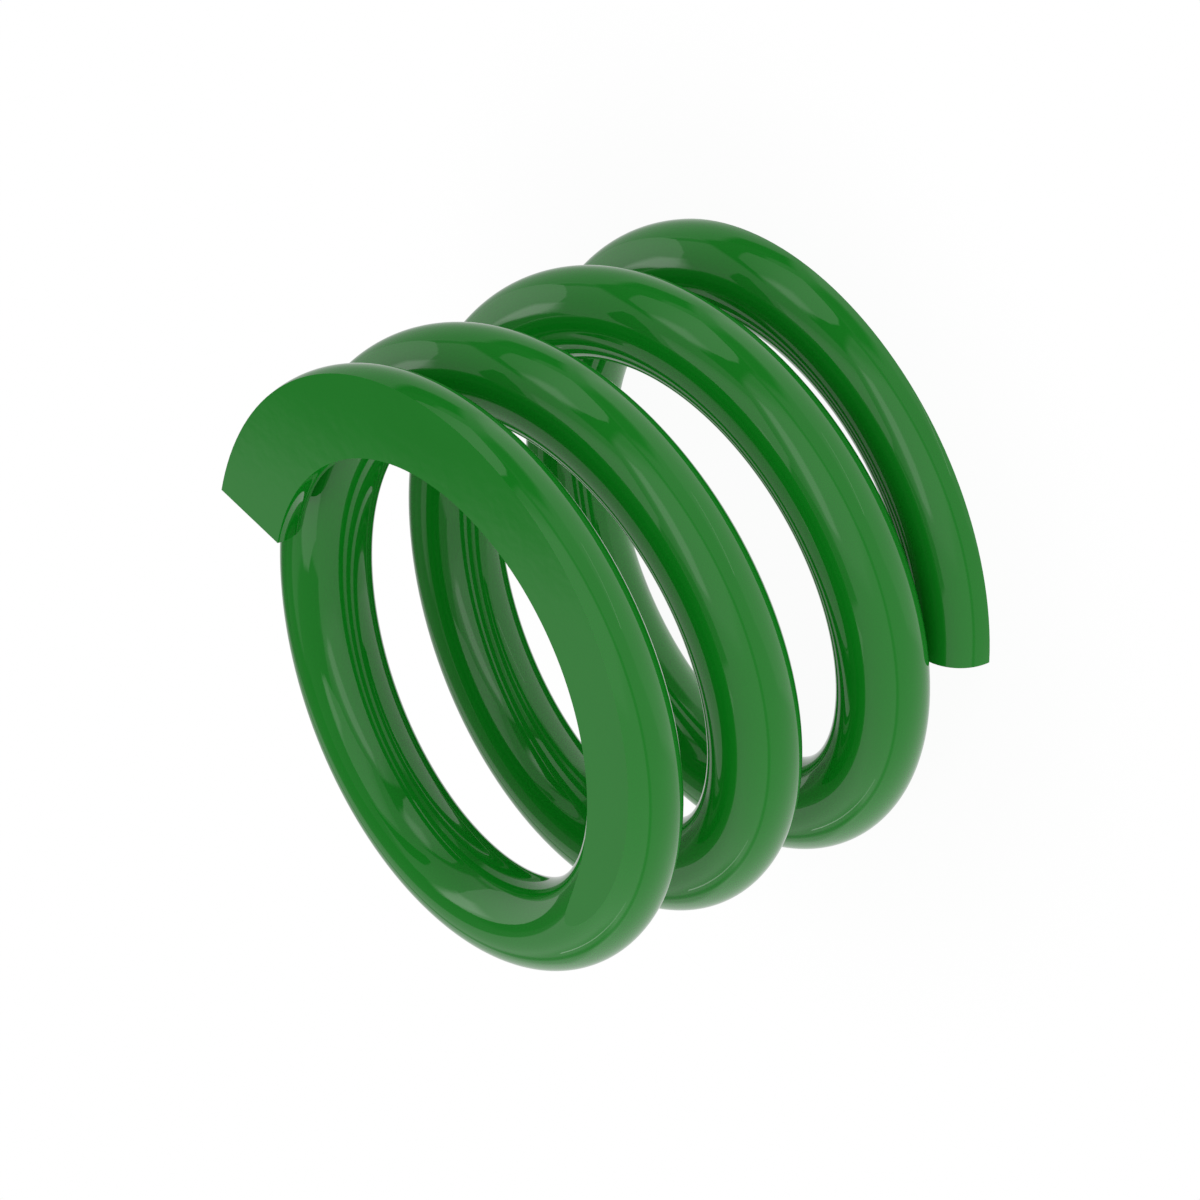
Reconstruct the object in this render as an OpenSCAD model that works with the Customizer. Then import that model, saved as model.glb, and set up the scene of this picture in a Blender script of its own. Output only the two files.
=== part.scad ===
// Compression spring of round wire, wound right-handed, with both ends closed up and ground flat.
// It stands on its lower ground end: the coil's axis is +Z, the lower ground face lies at Z = 0
// and the lower wire tip points along +X. All lengths are in millimetres.

/* [Wire] */
// Diameter of the round wire
wire_d = 5.3; // [3.4:0.1:9]

/* [Coil] */
// Mean diameter of the coil, from wire centre to wire centre
coil_d = 31.5; // [20:0.5:80]
// Turns of wire from the lower tip to the upper tip
total_turns = 3.469; // [2.5:0.001:8]
// How far the pitch of the open middle turns exceeds the wire diameter
turn_gap = 4.25; // [1:0.05:6]

/* [Ground ends] */
// Turns at each end over which the pitch eases from the open middle down to the tip
closing_turns = 1; // [0.8:0.05:1.3]
// How far the rise of the first turn at each end exceeds the wire diameter
tip_gap = 0.35; // [0.1:0.05:2]
// Height of wire that grinding leaves at the lower tip
lower_tip_h = 2.65; // [1.5:0.05:3.4]
// Height of wire that grinding leaves at the upper tip
upper_tip_h = 3.25; // [1.5:0.05:3.4]

/* [Smoothness] */
// Flat sides around the wire
wire_sides = 22; // [12:2:24]
// Wire sections along one turn of the coil
sections_per_turn = 64; // [36:1:70]

/* [Hidden] */

paint_green = "#2a7a31";

wire_r = wire_d / 2;
coil_r = coil_d / 2;

// The pitch in the open middle, and the pitch at the tips that gives the first turn its rise
turn_pitch = wire_d + turn_gap;
closing_share = closing_turns * eased_area(1 / closing_turns);
tip_pitch = (wire_d + tip_gap - closing_share * turn_pitch) / (1 - closing_share);

// How far inside its ground plane the wire's centre starts at each tip
lower_inset = lower_tip_h - wire_r;
upper_inset = upper_tip_h - wire_r;
free_length = lower_inset + 2 * rise(total_turns / 2) + upper_inset;

section_count = ceil(total_turns * sections_per_turn);

// Smooth step from 0 to 1
function eased(x) = x < 1 ? x * x * (3 - 2 * x) : 1;

// Area under the smooth step from 0 to x
function eased_area(x) = x < 1 ? pow(x, 3) - pow(x, 4) / 2 : x - 1 / 2;

// Pitch at a number of turns from the nearer tip
function pitch(turns) = tip_pitch + (turn_pitch - tip_pitch) * eased(turns / closing_turns);

// Rise of the wire's centre over a number of turns from the nearer tip
function rise(turns) =
    tip_pitch * turns
    + (turn_pitch - tip_pitch) * closing_turns * eased_area(turns / closing_turns);

// Height of the wire's centre at a number of turns from the lower tip
function centre_z(turns) =
    turns < total_turns / 2
        ? lower_inset + rise(turns)
        : free_length - upper_inset - rise(total_turns - turns);

// Half height of the wire in an upright section, which the slope of the coil makes a little taller
function half_height(turns) =
    let (slope = pitch(min(turns, total_turns - turns)) / (PI * coil_d))
    wire_r * sqrt(1 + slope * slope);

// Angle from the crown of a section to the edge of its flat. A ground plane within reach sets it,
// and otherwise the flat is one plain side of the section.
function flat_angle(plane_distance, half_h) =
    max(180 / wire_sides, acos(min(plane_distance / half_h, 1)));

// Evenly spaced angles from one end of an arc to the other
function arc_angles(from, to) =
    let (steps = wire_sides / 2 - 1)
    [for (i = [0 : steps]) from + (to - from) * i / steps];

// One upright section of the wire, round but for the flats that the two ground planes cut
function wire_section(turns) =
    let (
        z = centre_z(turns),
        half_h = half_height(turns),
        upper_flat = flat_angle(free_length - z, half_h),
        lower_flat = flat_angle(z, half_h),
        outer_side = arc_angles(lower_flat - 90, 90 - upper_flat),
        inner_side = arc_angles(90 + upper_flat, 270 - lower_flat)
    )
    [
        for (a = concat(outer_side, inner_side))
            let (r = coil_r + wire_r * cos(a))
            [r * cos(360 * turns), r * sin(360 * turns), z + half_h * sin(a)]
    ];

// Triangles that skin a row of sections, with a cap on the first and on the last
function skin_faces(sections, sides) =
    let (last = (sections - 1) * sides)
    concat(
        [[for (j = [sides - 1 : -1 : 0]) j]],
        [
            for (i = [0 : sections - 2], j = [0 : sides - 1])
                let (
                    near = i * sides + j,
                    near_next = i * sides + (j + 1) % sides,
                    far = near + sides,
                    far_next = near_next + sides
                )
                each [[near, near_next, far_next], [near, far_next, far]]
        ],
        [[for (j = [0 : sides - 1]) last + j]]
    );

// The whole spring: one wire swept along the winding, with its ends ground square to the axis
module spring_coil() {
    sections = [for (i = [0 : section_count]) wire_section(total_turns * i / section_count)];
    color(paint_green)
        polyhedron(
            points = [for (section = sections) each section],
            faces = skin_faces(len(sections), wire_sides),
            convexity = 8
        );
}

spring_coil();
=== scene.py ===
"""Winds, grinds and paints a compression spring on its CAD frame and lights it in a small studio."""

import math
from functools import reduce

import bmesh
import bpy
from bpy.props import FloatProperty, FloatVectorProperty, IntProperty, PointerProperty
from mathutils import Matrix, Vector


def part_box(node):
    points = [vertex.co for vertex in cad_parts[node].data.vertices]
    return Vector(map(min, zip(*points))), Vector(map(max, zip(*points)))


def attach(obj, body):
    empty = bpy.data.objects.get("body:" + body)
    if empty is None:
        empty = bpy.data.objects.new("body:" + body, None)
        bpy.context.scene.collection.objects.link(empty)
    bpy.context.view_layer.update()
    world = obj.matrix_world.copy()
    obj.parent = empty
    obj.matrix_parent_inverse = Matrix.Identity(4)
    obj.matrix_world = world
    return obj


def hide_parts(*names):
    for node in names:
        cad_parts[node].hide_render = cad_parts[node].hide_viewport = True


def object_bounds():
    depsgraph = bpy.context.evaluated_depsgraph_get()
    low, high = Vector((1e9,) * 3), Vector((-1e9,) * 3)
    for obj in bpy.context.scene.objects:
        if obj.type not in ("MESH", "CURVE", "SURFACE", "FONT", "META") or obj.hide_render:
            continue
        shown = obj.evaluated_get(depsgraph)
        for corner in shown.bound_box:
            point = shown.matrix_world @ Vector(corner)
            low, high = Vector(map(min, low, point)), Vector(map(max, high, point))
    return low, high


bl_info = {
    "name": "Ground Compression Spring",
    "version": (1, 0, 0),
    "blender": (4, 5, 0),
    "location": "View3D > Sidebar > Spring",
    "description": "Winds, grinds and paints a compression spring and lights it in a small studio",
    "category": "Object",
}

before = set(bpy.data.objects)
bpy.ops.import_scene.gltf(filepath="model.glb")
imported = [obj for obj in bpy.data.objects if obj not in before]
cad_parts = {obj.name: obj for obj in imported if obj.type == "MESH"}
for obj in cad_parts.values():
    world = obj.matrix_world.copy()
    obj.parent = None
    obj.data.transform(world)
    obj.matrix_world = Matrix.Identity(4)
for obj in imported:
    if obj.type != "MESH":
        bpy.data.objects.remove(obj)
CAD_LOW, CAD_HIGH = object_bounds()
COIL_LOW, COIL_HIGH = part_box("spring_coil")
COIL_REACH = min(-COIL_LOW.x, -COIL_LOW.y, COIL_HIGH.x, COIL_HIGH.y)

UP = (0, 0, 1)
WHITE = (1, 1, 1, 1)
# How far the camera sees, in metres
CAMERA_RANGE = 10

# Index of refraction of the paint
PAINT_IOR = 1.45
# Scale of the patches of thicker and thinner film, and how far they change the roughness
FILM_SCALE = 160
FILM_ROUGHNESS = 0.02
# Scale of the ripples from the paint's flow, their strength, and their height in metres
FLOW_SCALE = 900
RIPPLE_STRENGTH = 0.1
RIPPLE_HEIGHT = 0.00001

# Half the width of the floor, and how far it lies under the coil, in metres
FLOOR_HALF_WIDTH = 2
FLOOR_DROP = 0.00002
# Level of the floor as a light on the coil, where the camera sees a level of 1
FLOOR_LEVEL = 0.95
# Share of the floor that takes the coil's shadow, and the distances in metres over which it fades out
SHADOW_SHARE = 0.05
SHADOW_FADE = (0.02, 0.035)

# Where the even light on the coil is weakest, in degrees to the right of the camera and above it,
# and how much it lacks there
SHADE_PLACE = (-90, 50)
SHADE_DEPTH = 0.25

# Where the mirrored walls are dimmest, in the same degrees, and the nearness to there, as a cosine,
# over which they go from the bright level to the dim one
DIM_PLACE = (-90, 25)
DIM_SPAN = (-0.1, 0.5)
# Share of the walls' level that is left below the horizon, and the blur of the horizon
LOWER_SHARE = 0.8
HORIZON_BLUR = 0.03

# Axis around which the dark seam between walls and floor runs, how dark it is, and the heights along
# the axis over which it darkens and clears
SEAM_AXIS = (0.037, 0.026, 1)
SEAM_DEPTH = 0.55
SEAM_DARKENS = (-0.03, 0.05)
SEAM_CLEARS = (0.07, 0.14)

# Panels that the coil mirrors, from the back to the front: level, degrees of soft edge, and corners in
# degrees to the right of the camera and above it. The bright ones are soft boxes and the dark ones flags.
# The far ones stand behind the dark seam, and the near ones before it.
FAR_PANELS = {
    "floor_glow": (1.05, 6, (
        (58, 45), (60, 18), (68, -2), (90, -16), (125, -6),
        (150, 10), (154, 45), (148, 67), (115, 78), (80, 72),
    )),
    "floor_line": (2.4, 0.8, ((62, 12), (63.2, 11.5), (72.6, 40), (71.6, 41))),
    "low_wall": (0.52, 8, (
        (190, -36), (192, -62), (204, -66), (216, -58), (219, -40), (216, -28), (204, -26),
    )),
    "low_flag": (0.35, 3, (
        (-106, -5), (-88, -26), (-48, -47), (-25, -46), (-25, -28), (-36, -14), (-70, 0),
    )),
    "low_box": (1.5, 2, ((-92, -44), (-72, -56), (-46, -54), (-56, -41), (-70, -36.5), (-86, -33))),
    "middle_box": (1.2, 1.5, ((-68, 2), (-55, -20), (-45, -20), (-31, -9), (-29, 16), (-66, 16))),
    "middle_box_heart": (2.1, 4, ((-58, -9), (-53, -20), (-45, -18), (-46, -9))),
    "middle_wall": (0.62, 18, ((-75, 12), (-26, 15), (-26, 40), (-75, 40))),
    "front_box": (1.25, 14, ((-24, -30), (20, -32), (36, 0), (22, 32), (-20, 32))),
    "strip_box": (2.3, 5, (
        (-20.5, -23), (-15, -26), (-9, -24), (-6.5, -8), (-8, 8), (-12, 21), (-20, 22),
    )),
}
NEAR_PANELS = {
    "wall_line": (1.9, 0.8, ((-177.5, -75.1), (-174.2, -75.7), (-144.8, -41), (-146.2, -40.7))),
    "far_ceiling_flag": (0.2, 10, ((12, 52), (38, 50), (58, 60), (80, 74), (90, 80), (0, 80))),
    "back_ceiling_flag": (0.1, 5, ((162, 68), (200, 62), (250, 58), (250, 75), (180, 86))),
    "left_ceiling_flag": (0.15, 4, ((-115, 52), (-66, 33), (-66, 60), (-150, 78))),
    "right_ceiling_flag": (0.15, 4, ((-44, 29), (-27, 24), (12, 55), (0, 78), (-44, 60))),
    "top_box": (1.2, 1.5, (
        (-82, 50), (-72, 43.5), (-62, 38.2), (-55, 35), (-49, 33.5), (-43, 35.5), (-35, 39), (-22, 44.5),
        (-8, 52), (1, 59.5), (3, 64), (-20, 84), (-97, 66),
    )),
    "top_box_heart": (2.1, 9, (
        (-64, 40), (-56, 35), (-49, 33), (-42, 35), (-38, 40), (-47, 48), (-58, 46),
    )),
    "side_flag": (0.12, 1, ((-82, 4), (-72, -3), (-70, 14), (-73, 25), (-77, 25), (-82.5, 12))),
    "left_flag": (0.2, 2, ((-153, 6), (-151, -10), (-120, -18), (-90, -25), (-88, -8), (-100, 3))),
    "left_flag_heart": (0.12, 4, (
        (-151, 5), (-141, -8), (-130, -13), (-117, -10), (-110, -4), (-116, 1), (-140, 3),
    )),
    "seat_flag": (0.2, 0.7, ((-117.6, -19.5), (-115.2, -23.1), (-108, -22), (-110, -12))),
    "left_box": (1.27, 0.8, (
        (-150, 6), (-122, -1.5), (-102, -3), (-98.5, 0), (-96.5, 6), (-96.5, 18), (-98, 26), (-103, 33),
        (-110, 38), (-117, 40.5), (-128, 37.5), (-150, 22),
    )),
    "left_box_heart": (2.4, 6, ((-110, 2), (-102, -3), (-98, -1), (-96, 6), (-96.5, 14), (-103, 13))),
}

# Panels that fade towards the side from their last corner to their first: the level there, and
# the degrees from there over which it rises to the panel's own.
FADES = {
    "top_box": (0.65, 30),
    "left_box": (0.6, 50),
}


class SpringSizes(bpy.types.PropertyGroup):
    """Sizes of the wire, the winding and the ground ends."""

    outside_d: FloatProperty(
        name="Outside diameter",
        description="Outside diameter of the coil",
        default=2 * COIL_REACH,
        unit="LENGTH",
    )
    free_length: FloatProperty(
        name="Free length",
        description="Height between the two ground faces",
        default=COIL_HIGH.z - COIL_LOW.z,
        unit="LENGTH",
    )
    wire_d: FloatProperty(
        name="Wire diameter",
        description="Diameter of the round wire",
        default=0.0053,
        unit="LENGTH",
    )
    total_turns: FloatProperty(
        name="Turns",
        description="Turns of wire from the lower tip to the upper tip",
        default=3.469,
    )
    turn_gap: FloatProperty(
        name="Turn gap",
        description="How far the pitch of the open middle turns exceeds the wire diameter",
        default=0.00425,
        unit="LENGTH",
    )
    closing_turns: FloatProperty(
        name="Closing turns",
        description="Turns at each end over which the pitch eases down to the tip",
        default=1.0,
    )
    tip_gap: FloatProperty(
        name="Tip gap",
        description="How far the rise of the first turn at each end exceeds the wire diameter",
        default=0.00035,
        unit="LENGTH",
    )
    lower_tip_h: FloatProperty(
        name="Lower tip height",
        description="Height of wire that grinding leaves at the lower tip",
        default=0.00265,
        unit="LENGTH",
    )
    upper_tip_h: FloatProperty(
        name="Upper tip height",
        description="Height of wire that grinding leaves at the upper tip",
        default=0.00325,
        unit="LENGTH",
    )
    wire_sides: IntProperty(
        name="Wire sides",
        description="Faces around the wire",
        default=64,
    )
    steps_per_turn: IntProperty(
        name="Steps per turn",
        description="Wire sections along one turn of the coil",
        default=160,
    )


class SpringPaint(bpy.types.PropertyGroup):
    """Colour and gloss of the paint."""

    deep_colour: FloatVectorProperty(
        name="Deep paint",
        description="Colour of the paint where its film is thickest",
        subtype="COLOR",
        size=3,
        default=(0.0033, 0.17, 0.0083),
    )
    thin_colour: FloatVectorProperty(
        name="Thin paint",
        description="Colour of the paint where its film is thinnest",
        subtype="COLOR",
        size=3,
        default=(0.0045, 0.188, 0.011),
    )
    roughness: FloatProperty(
        name="Roughness",
        description="Roughness of the paint's gloss",
        default=0.025,
        subtype="FACTOR",
    )


class SpringStudio(bpy.types.PropertyGroup):
    """Camera, floor and light of the studio."""

    azimuth: FloatProperty(
        name="Azimuth",
        description="Direction of the camera from the coil's axis, turned from +X towards +Y",
        default=math.radians(42.037),
        subtype="ANGLE",
    )
    elevation: FloatProperty(
        name="Elevation",
        description="Angle of the camera above the floor",
        default=math.radians(33.192),
        subtype="ANGLE",
    )
    roll: FloatProperty(
        name="Roll",
        description="Turn of the picture about the line of sight",
        default=math.radians(-114.797),
        subtype="ANGLE",
    )
    distance: FloatProperty(
        name="Distance",
        description="Distance of the camera from the middle of the coil",
        default=0.53513,
        unit="LENGTH",
    )
    lens: FloatProperty(
        name="Lens",
        description="Focal length of the camera in millimetres",
        default=284.31,
    )
    bright_side: FloatProperty(
        name="Bright side",
        description="Level of the studio's bright side",
        default=1.0,
    )
    dim_side: FloatProperty(
        name="Dim side",
        description="Level of the studio's dim side",
        default=0.62,
    )
    floor_colour: FloatVectorProperty(
        name="Floor",
        description="Colour of the floor",
        subtype="COLOR",
        size=3,
        default=(0.9, 0.9, 0.9),
    )


class Socket:
    """A shader socket that takes part in plain arithmetic."""

    def __init__(self, graph, output):
        self.graph = graph
        self.output = output

    def math(self, operation, left, right):
        outputs = self.graph.node("ShaderNodeMath", {"operation": operation}, {0: left, 1: right})
        return outputs["Value"]

    def __add__(self, other):
        return self.math("ADD", self, other)

    def __radd__(self, other):
        return self.math("ADD", other, self)

    def __sub__(self, other):
        return self.math("SUBTRACT", self, other)

    def __rsub__(self, other):
        return self.math("SUBTRACT", other, self)

    def __mul__(self, other):
        return self.math("MULTIPLY", self, other)

    def __rmul__(self, other):
        return self.math("MULTIPLY", other, self)

    def least(self, other):
        """The smaller of two values."""
        return self.math("MINIMUM", self, other)


class Graph:
    """The node tree of one material or world."""

    def __init__(self, owner):
        owner.use_nodes = True
        self.tree = owner.node_tree
        self.tree.nodes.clear()

    def node(self, kind, settings=None, inputs=None):
        """Add a node, set it up, feed its sockets and return its outputs by name."""
        node = self.tree.nodes.new(kind)
        for name, value in (settings or {}).items():
            setattr(node, name, value)
        live = {socket.name: socket for socket in node.inputs if socket.enabled}
        for key, value in (inputs or {}).items():
            socket = live[key] if isinstance(key, str) else node.inputs[key]
            if isinstance(value, Socket):
                self.tree.links.new(value.output, socket)
            else:
                socket.default_value = value
        return {output.name: Socket(self, output) for output in node.outputs if output.enabled}

    def dot(self, left, right):
        """Dot product of two vectors."""
        return self.node("ShaderNodeVectorMath", {"operation": "DOT_PRODUCT"}, {0: left, 1: right})["Value"]

    def ease(self, value, low, high, at_low, at_high):
        """Ease from one level to another as a value goes from low to high."""
        inputs = {"Value": value, "From Min": low, "From Max": high, "To Min": at_low, "To Max": at_high}
        return self.node("ShaderNodeMapRange", {"interpolation_type": "SMOOTHSTEP"}, inputs)["Result"]


def gloss_paint(paint):
    """Smooth gloss paint whose film varies a little in thickness and in flow."""
    material = bpy.data.materials.new("green_gloss_paint")
    graph = Graph(material)
    place = graph.node("ShaderNodeTexCoord")["Object"]
    film = graph.node("ShaderNodeTexNoise", None, {"Vector": place, "Scale": FILM_SCALE, "Detail": 3})["Fac"]
    flow = graph.node("ShaderNodeTexNoise", None, {"Vector": place, "Scale": FLOW_SCALE, "Detail": 2})["Fac"]
    colour = graph.node(
        "ShaderNodeMix",
        {"data_type": "RGBA"},
        {"Factor": film, "A": (*paint.deep_colour, 1), "B": (*paint.thin_colour, 1)},
    )["Result"]
    ripple = graph.node(
        "ShaderNodeBump", None, {"Strength": RIPPLE_STRENGTH, "Distance": RIPPLE_HEIGHT, "Height": flow}
    )["Normal"]
    shader = graph.node(
        "ShaderNodeBsdfPrincipled",
        None,
        {
            "Base Color": colour,
            "Roughness": paint.roughness + FILM_ROUGHNESS * (film - 0.5),
            "IOR": PAINT_IOR,
            "Normal": ripple,
        },
    )["BSDF"]
    graph.node("ShaderNodeOutputMaterial", None, {"Surface": shader})
    return material


class Winding:
    """The height of the wire's centre along the coil, worked out from the spring's sizes."""

    def __init__(self, sizes):
        self.turns = sizes.total_turns
        self.closing = sizes.closing_turns
        self.open_pitch = sizes.wire_d + sizes.turn_gap
        share = self.closing * self.eased_area(1 / self.closing)
        first_rise = sizes.wire_d + sizes.tip_gap
        self.tip_pitch = (first_rise - share * self.open_pitch) / (1 - share)
        self.low = sizes.lower_tip_h - sizes.wire_d / 2
        self.high = sizes.free_length - sizes.upper_tip_h + sizes.wire_d / 2

    @staticmethod
    def eased_area(x):
        """Area under a smooth step from 0 to x."""
        return x**3 - x**4 / 2 if x < 1 else x - 1 / 2

    def rise(self, turns):
        """Rise of the wire's centre over a number of turns from the nearer tip."""
        eased = self.closing * self.eased_area(turns / self.closing)
        return self.tip_pitch * turns + (self.open_pitch - self.tip_pitch) * eased

    def height(self, turns):
        """Height of the wire's centre at a number of turns from the lower tip."""
        if turns < self.turns / 2:
            return self.low + self.rise(turns)
        return self.high - self.rise(self.turns - turns)


def wind_wire(bm, sizes):
    """Sweep the wire's round section along the winding and close its two tips."""
    winding = Winding(sizes)
    wire_r = sizes.wire_d / 2
    coil_r = sizes.outside_d / 2 - wire_r
    steps = math.ceil(sizes.total_turns * sizes.steps_per_turn)
    step_turns = sizes.total_turns / steps
    circle = bmesh.ops.create_circle(bm, cap_ends=False, radius=wire_r, segments=sizes.wire_sides)
    upright = Matrix.Rotation(math.radians(90), 4, "X")
    place = Matrix.Translation((coil_r, 0, winding.height(0)))
    bmesh.ops.transform(bm, matrix=place @ upright, verts=circle["verts"])
    section = bm.verts[:] + bm.edges[:]
    for step in range(steps):
        rise = winding.height((step + 1) * step_turns) - winding.height(step * step_turns)
        section = bmesh.ops.spin(
            bm,
            geom=section,
            cent=(0, 0, 0),
            axis=UP,
            dvec=(0, 0, rise),
            angle=math.tau * step_turns,
            steps=1,
        )["geom_last"]
    tips = bmesh.ops.holes_fill(bm, edges=[edge for edge in bm.edges if edge.is_boundary])["faces"]
    for face in bm.faces:
        face.smooth = True
    flatten(tips)


def grind_end(bm, height, side):
    """Cut the coil off square at a height and close the cut with a flat face."""
    cut = bmesh.ops.bisect_plane(
        bm,
        geom=bm.verts[:] + bm.edges[:] + bm.faces[:],
        plane_co=(0, 0, height),
        plane_no=(0, 0, side),
        clear_outer=True,
    )["geom_cut"]
    rim = [part for part in cut if isinstance(part, bmesh.types.BMEdge)]
    flatten(bmesh.ops.holes_fill(bm, edges=rim)["faces"])


def flatten(faces):
    """Shade faces flat and keep their edges sharp."""
    for face in faces:
        face.smooth = False
        for edge in face.edges:
            edge.smooth = False


class SPRING_OT_wind_coil(bpy.types.Operator):
    """Wind the wire, grind both ends flat and paint the spring"""

    bl_idname = "spring.wind_coil"
    bl_label = "Wind Coil"

    def execute(self, context):
        sizes = context.scene.spring_sizes
        bm = bmesh.new()
        wind_wire(bm, sizes)
        grind_end(bm, 0, -1)
        grind_end(bm, sizes.free_length, 1)
        bmesh.ops.recalc_face_normals(bm, faces=bm.faces)
        mesh = bpy.data.meshes.new("ground_coil")
        bm.to_mesh(mesh)
        bm.free()
        mesh.materials.append(gloss_paint(context.scene.spring_paint))
        coil = bpy.data.objects.new("ground_coil", mesh)
        context.scene.collection.objects.link(coil)
        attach(coil, "root")
        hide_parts("spring_coil")
        return {"FINISHED"}


def aim_camera(scene, studio):
    """Aim the camera at the middle of the coil and return its axes."""
    middle = (CAD_LOW + CAD_HIGH) / 2
    flat = math.cos(studio.elevation)
    back = Vector((
        flat * math.cos(studio.azimuth),
        flat * math.sin(studio.azimuth),
        math.sin(studio.elevation),
    ))
    level = back.to_track_quat("Z", "Y").to_matrix().to_4x4()
    rolled = level @ Matrix.Rotation(studio.roll, 4, "Z")
    data = bpy.data.cameras.new("camera")
    data.lens = studio.lens
    data.clip_end = CAMERA_RANGE
    camera = bpy.data.objects.new("camera", data)
    camera.matrix_world = Matrix.Translation(middle + studio.distance * back) @ rolled
    scene.collection.objects.link(camera)
    scene.camera = camera
    return rolled.to_3x3()


def facing(view, turn, lift):
    """Direction at some degrees to the right of the camera and above it."""
    turned = Matrix.Rotation(math.radians(turn), 3, "Y") @ Matrix.Rotation(math.radians(-lift), 3, "X")
    return view @ turned @ Vector((0, 0, 1))


def hang_panels(graph, outwards, view, level, panels):
    """Paint panels over a level of light, each one before the last."""
    for name, (panel_level, edge, corners) in panels.items():
        rays = [facing(view, *corner) for corner in corners]
        next_rays = rays[1:] + rays[:1]
        sides = [ray.cross(next_ray).normalized() for ray, next_ray in zip(rays, next_rays)]
        depths = [graph.dot(outwards, side) for side in sides]
        reach = math.sin(math.radians(edge / 2))
        inside = graph.ease(reduce(Socket.least, depths), -reach, reach, 0, 1)
        if name in FADES:
            end_level, fade = FADES[name]
            panel_level = graph.ease(depths[-1], 0, math.sin(math.radians(fade)), end_level, panel_level)
        level = graph.node("ShaderNodeMix", None, {"Factor": inside, "A": level, "B": panel_level})["Result"]
    return level


def studio_level(graph, outwards, studio, view):
    """Level of the walls, soft boxes and flags that the coil mirrors."""
    nearness = graph.dot(outwards, facing(view, *DIM_PLACE))
    walls = graph.ease(nearness, *DIM_SPAN, studio.bright_side, studio.dim_side)
    height = graph.dot(outwards, UP)
    walls = walls * graph.ease(height, -HORIZON_BLUR, HORIZON_BLUR, LOWER_SHARE, 1)
    behind = hang_panels(graph, outwards, view, walls, FAR_PANELS)
    seam_height = graph.dot(outwards, SEAM_AXIS)
    darkens = graph.ease(seam_height, *SEAM_DARKENS, 0, SEAM_DEPTH)
    clears = graph.ease(seam_height, *SEAM_CLEARS, SEAM_DEPTH, 0)
    return hang_panels(graph, outwards, view, behind * (1 - darkens.least(clears)), NEAR_PANELS)


def light_world(scene, studio, view):
    """Light the coil evenly, and let its gloss mirror the studio around it."""
    world = bpy.data.worlds.new("studio_world")
    graph = Graph(world)
    outwards = graph.node("ShaderNodeTexCoord")["Generated"]
    level = studio_level(graph, outwards, studio, view)
    mirrored = graph.node("ShaderNodeBackground", None, {"Strength": level, "Color": WHITE})["Background"]
    even = 1 - SHADE_DEPTH * graph.dot(outwards, facing(view, *SHADE_PLACE))
    plain = graph.node("ShaderNodeBackground", None, {"Strength": even, "Color": WHITE})["Background"]
    gloss = graph.node("ShaderNodeLightPath")["Is Glossy Ray"]
    shader = graph.node("ShaderNodeMixShader", None, {"Fac": gloss, 1: plain, 2: mirrored})["Shader"]
    graph.node("ShaderNodeOutputWorld", None, {"Surface": shader})
    scene.world = world


def white_floor(studio):
    """A floor that the camera sees as plain white, with a faint shadow around the coil."""
    material = bpy.data.materials.new("white_floor")
    graph = Graph(material)
    seen = graph.node("ShaderNodeLightPath")["Is Camera Ray"]
    place = graph.node("ShaderNodeTexCoord")["Object"]
    white = FLOOR_LEVEL + (1 - FLOOR_LEVEL) * seen
    matt = graph.node("ShaderNodeBsdfDiffuse", None, {"Color": (*studio.floor_colour, 1)})["BSDF"]
    glow = graph.node("ShaderNodeEmission", None, {"Color": white, "Strength": 1})["Emission"]
    away = graph.node("ShaderNodeVectorMath", {"operation": "LENGTH"}, {0: place})["Value"]
    shadow = SHADOW_SHARE * seen * graph.ease(away, *SHADOW_FADE, 1, 0)
    shader = graph.node("ShaderNodeMixShader", None, {"Fac": 1 - shadow, 1: matt, 2: glow})["Shader"]
    graph.node("ShaderNodeOutputMaterial", None, {"Surface": shader})
    return material


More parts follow.
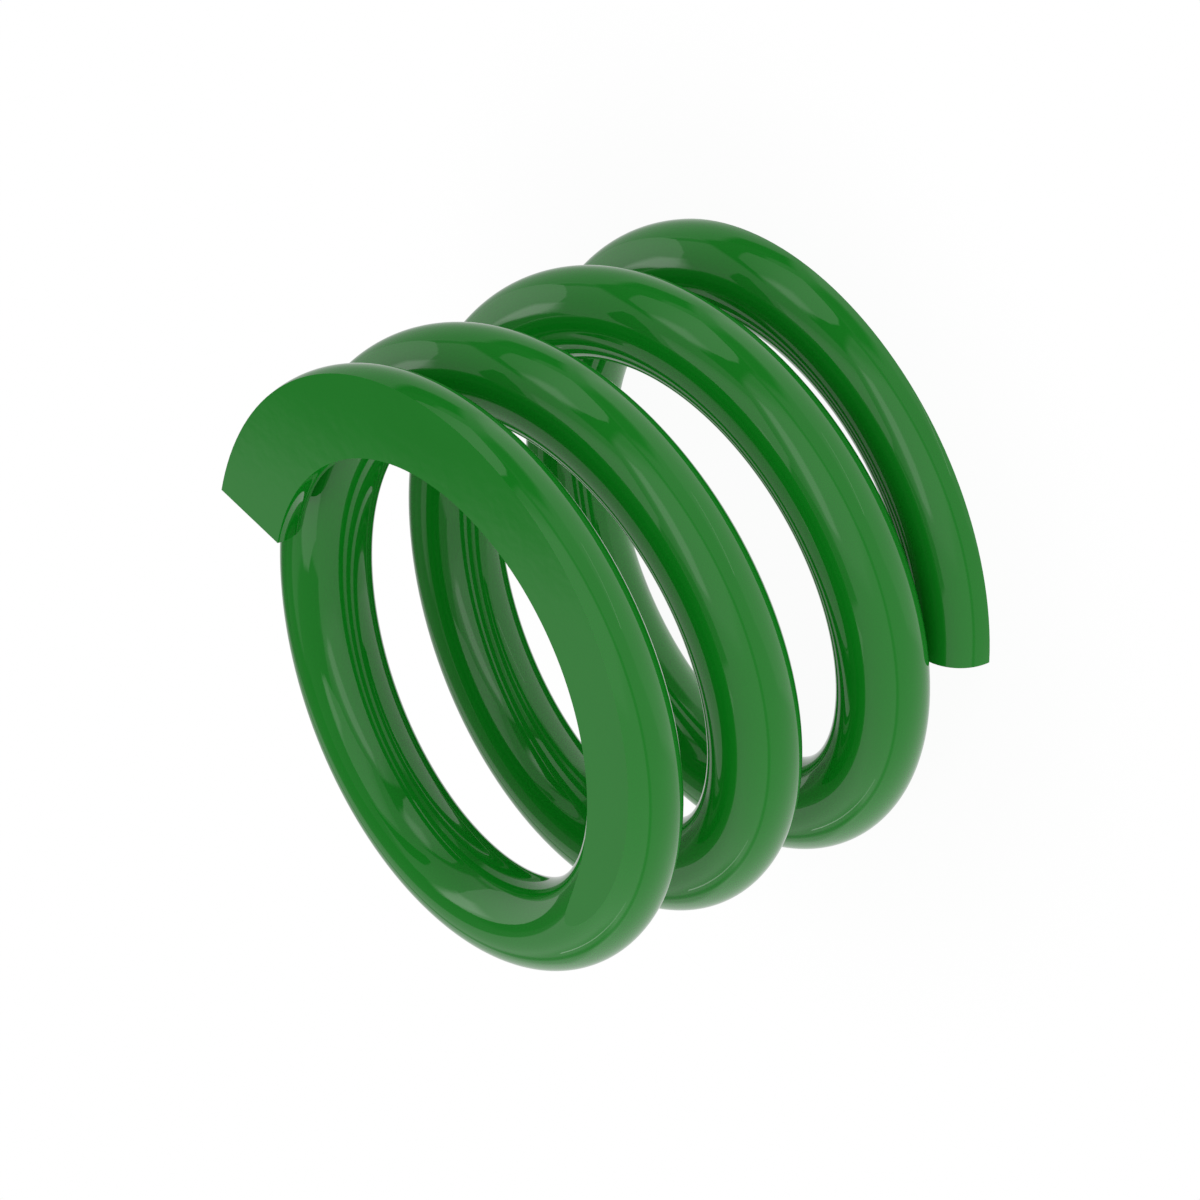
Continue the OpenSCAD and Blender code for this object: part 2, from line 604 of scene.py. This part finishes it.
def lay_floor(scene, studio):
    """Lay the floor just under the lower ground face, out of the coil's reflections."""
    bm = bmesh.new()
    bmesh.ops.create_grid(bm, x_segments=1, y_segments=1, size=FLOOR_HALF_WIDTH)
    bmesh.ops.translate(bm, vec=(0, 0, -FLOOR_DROP), verts=bm.verts)
    mesh = bpy.data.meshes.new("studio_floor")
    bm.to_mesh(mesh)
    bm.free()
    mesh.materials.append(white_floor(studio))
    floor = bpy.data.objects.new("studio_floor", mesh)
    floor.visible_glossy = False
    scene.collection.objects.link(floor)


class SPRING_OT_set_stage(bpy.types.Operator):
    """Aim the camera, lay the floor and light the studio"""

    bl_idname = "spring.set_stage"
    bl_label = "Set Stage"

    def execute(self, context):
        scene = context.scene
        studio = scene.spring_studio
        scene.view_settings.view_transform = "Standard"
        view = aim_camera(scene, studio)
        lay_floor(scene, studio)
        light_world(scene, studio, view)
        return {"FINISHED"}


class SPRING_PT_sidebar(bpy.types.Panel):
    """Lists the spring's sizes, paint and studio with the steps that build them"""

    bl_idname = "SPRING_PT_sidebar"
    bl_label = "Compression Spring"
    bl_space_type = "VIEW_3D"
    bl_region_type = "UI"
    bl_category = "Spring"

    def draw(self, context):
        scene = context.scene
        for group in (scene.spring_sizes, scene.spring_paint, scene.spring_studio):
            box = self.layout.box()
            for name in group.__annotations__:
                box.prop(group, name)
        self.layout.operator(SPRING_OT_wind_coil.bl_idname)
        self.layout.operator(SPRING_OT_set_stage.bl_idname)


CLASSES = (
    SpringSizes,
    SpringPaint,
    SpringStudio,
    SPRING_OT_wind_coil,
    SPRING_OT_set_stage,
    SPRING_PT_sidebar,
)


def register():
    for cls in CLASSES:
        bpy.utils.register_class(cls)
    bpy.types.Scene.spring_sizes = PointerProperty(type=SpringSizes)
    bpy.types.Scene.spring_paint = PointerProperty(type=SpringPaint)
    bpy.types.Scene.spring_studio = PointerProperty(type=SpringStudio)


def unregister():
    del bpy.types.Scene.spring_studio
    del bpy.types.Scene.spring_paint
    del bpy.types.Scene.spring_sizes
    for cls in reversed(CLASSES):
        bpy.utils.unregister_class(cls)


def main():
    register()
    bpy.ops.spring.wind_coil()
    bpy.ops.spring.set_stage()


if __name__ == "__main__":
    main()
